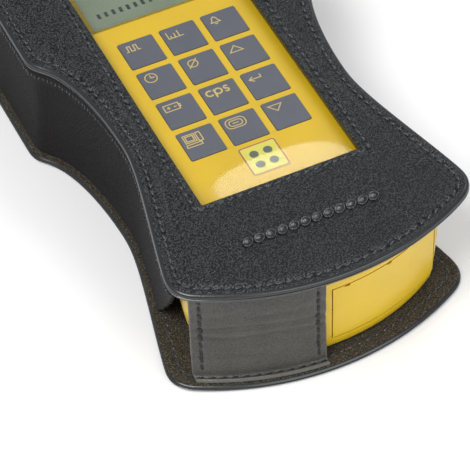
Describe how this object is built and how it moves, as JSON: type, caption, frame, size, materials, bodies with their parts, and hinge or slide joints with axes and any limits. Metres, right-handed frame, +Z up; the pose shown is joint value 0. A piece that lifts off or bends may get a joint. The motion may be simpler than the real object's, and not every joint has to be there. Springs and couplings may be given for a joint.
{
  "type": "geiger counter",
  "caption": "Hand-held radiation meter with a waisted yellow body, keypad and display, in a stitched leather carrying case with a clear window.",
  "frame": {"origin": "on the table, under the middle of the case's footprint", "axes": "+X across the instrument to the right seen from the keypad end, +Y from the keypad end to the tube window end, +Z up out of the keypad"},
  "size_m": [0.0839, 0.172, 0.0354],
  "materials": {
    "case_leather": "fine-grained black leather, semi-matt",
    "flock_lining": "dark brown flock",
    "elastic_fabric": "ribbed elastic fabric",
    "strap_leather": "smooth dark grey leather",
    "clear_film": "clear glossy film",
    "shell_plastic": "yellow moulded plastic, satin",
    "overlay_film": "printed yellow keypad film",
    "sign_print": "printed label",
    "key_plastic": "slate blue key film",
    "lcd_lens": "clear lens",
    "lcd_glass": "grey-green display glass",
    "white_plastic": "natural white plastic",
    "pink_rubber": "conductive rubber strip",
    "board_laminate": "green glass laminate",
    "black_plastic": "black moulded plastic",
    "crystal_can": "nickel plated can",
    "ceramic_parts": "ceramic chip parts",
    "winding": "varnished winding and former",
    "capacitor_coat": "orange ceramic coating",
    "socket_steel": "stamped steel",
    "cell_sleeve": "sleeved cell",
    "nickel_strip": "nickel strip",
    "tube_steel": "drawn steel tube",
    "mica": "mica sheet",
    "spring_bronze": "spring bronze",
    "wire_sleeve": "red insulated lead",
    "foil": "thin foil",
    "shield_aluminium": "turned aluminium",
    "screw_steel": "zinc plated steel",
    "grille_steel": "perforated steel"
  },
  "bodies": {
    "case": {"case_top_panel": "case_leather", "case_top_lining": "flock_lining", "case_bottom_panel": "case_leather", "case_bottom_lining": "flock_lining", "gusset_left": "elastic_fabric", "gusset_right": "elastic_fabric", "end_strap": "strap_leather", "window_film": "clear_film"},
    "counter": {"upper_shell": "shell_plastic", "lower_shell": "shell_plastic", "keypad_overlay": "overlay_film", "radiation_sign": "sign_print", "lcd_lens": "lcd_lens", "lcd_glass": "lcd_glass", "lcd_holder": "white_plastic", "lcd_contact_strips": "pink_rubber", "main_board": "board_laminate", "tact_switches": "black_plastic", "microcontroller": "black_plastic", "clock_crystal": "crystal_can", "surface_mount_parts": "ceramic_parts", "hv_transformer": "winding", "hv_capacitors": "capacitor_coat", "buzzer": "black_plastic", "usb_socket": "socket_steel", "battery": "cell_sleeve", "battery_cradle": "black_plastic", "battery_tabs": "nickel_strip", "gm_tube": "tube_steel", "mica_window": "mica", "tube_clips": "spring_bronze", "anode_lead": "wire_sleeve", "tube_carrier": "black_plastic", "disc_pin": "screw_steel", "detent_spring": "screw_steel", "window_grille": "grille_steel", "housing_screws": "screw_steel", "board_screws": "screw_steel"},
    "cover": {"end_cover": "shell_plastic"},
    "selector": {"aperture_disc": "black_plastic", "alpha_foil": "foil", "beta_shield": "shield_aluminium"},
    "key_computer": {"key_computer": "key_plastic"},
    "key_log": {"key_log": "key_plastic"},
    "key_down": {"key_down": "key_plastic"},
    "key_battery": {"key_battery": "key_plastic"},
    "key_pulses": {"key_pulses": "key_plastic"},
    "key_enter": {"key_enter": "key_plastic"},
    "key_clock": {"key_clock": "key_plastic"},
    "key_mean": {"key_mean": "key_plastic"},
    "key_up": {"key_up": "key_plastic"},
    "key_rate": {"key_rate": "key_plastic"},
    "key_dose": {"key_dose": "key_plastic"},
    "key_alarm": {"key_alarm": "key_plastic"}
  },
  "joints": [
    {"name": "counter_slide", "type": "slide", "parent": "case", "child": "counter", "axis": [0, 1, 0], "range_m": [0, 0.18], "deforming": ["gusset_left", "gusset_right"]},
    {"name": "cover_pull", "type": "slide", "parent": "counter", "child": "cover", "axis": [0, -1, 0], "range_m": [0, 0.03]},
    {"name": "selector_turn", "type": "hinge", "parent": "counter", "child": "selector", "pos_m": [0, 0.0765, 0.0174], "axis": [0, 1, 0], "range_deg": [-62, 62]},
    {"name": "key_computer_press", "type": "slide", "parent": "counter", "child": "key_computer", "axis": [0, 0, -1], "range_m": [0, 0.0003], "stiffness_N_per_m": 200},
    {"name": "key_log_press", "type": "slide", "parent": "counter", "child": "key_log", "axis": [0, 0, -1], "range_m": [0, 0.0003], "stiffness_N_per_m": 200},
    {"name": "key_down_press", "type": "slide", "parent": "counter", "child": "key_down", "axis": [0, 0, -1], "range_m": [0, 0.0003], "stiffness_N_per_m": 200},
    {"name": "key_battery_press", "type": "slide", "parent": "counter", "child": "key_battery", "axis": [0, 0, -1], "range_m": [0, 0.0003], "stiffness_N_per_m": 200},
    {"name": "key_pulses_press", "type": "slide", "parent": "counter", "child": "key_pulses", "axis": [0, 0, -1], "range_m": [0, 0.0003], "stiffness_N_per_m": 200},
    {"name": "key_enter_press", "type": "slide", "parent": "counter", "child": "key_enter", "axis": [0, 0, -1], "range_m": [0, 0.0003], "stiffness_N_per_m": 200},
    {"name": "key_clock_press", "type": "slide", "parent": "counter", "child": "key_clock", "axis": [0, 0, -1], "range_m": [0, 0.0003], "stiffness_N_per_m": 200},
    {"name": "key_mean_press", "type": "slide", "parent": "counter", "child": "key_mean", "axis": [0, 0, -1], "range_m": [0, 0.0003], "stiffness_N_per_m": 200},
    {"name": "key_up_press", "type": "slide", "parent": "counter", "child": "key_up", "axis": [0, 0, -1], "range_m": [0, 0.0003], "stiffness_N_per_m": 200},
    {"name": "key_rate_press", "type": "slide", "parent": "counter", "child": "key_rate", "axis": [0, 0, -1], "range_m": [0, 0.0003], "stiffness_N_per_m": 200},
    {"name": "key_dose_press", "type": "slide", "parent": "counter", "child": "key_dose", "axis": [0, 0, -1], "range_m": [0, 0.0003], "stiffness_N_per_m": 200},
    {"name": "key_alarm_press", "type": "slide", "parent": "counter", "child": "key_alarm", "axis": [0, 0, -1], "range_m": [0, 0.0003], "stiffness_N_per_m": 200}
  ]
}
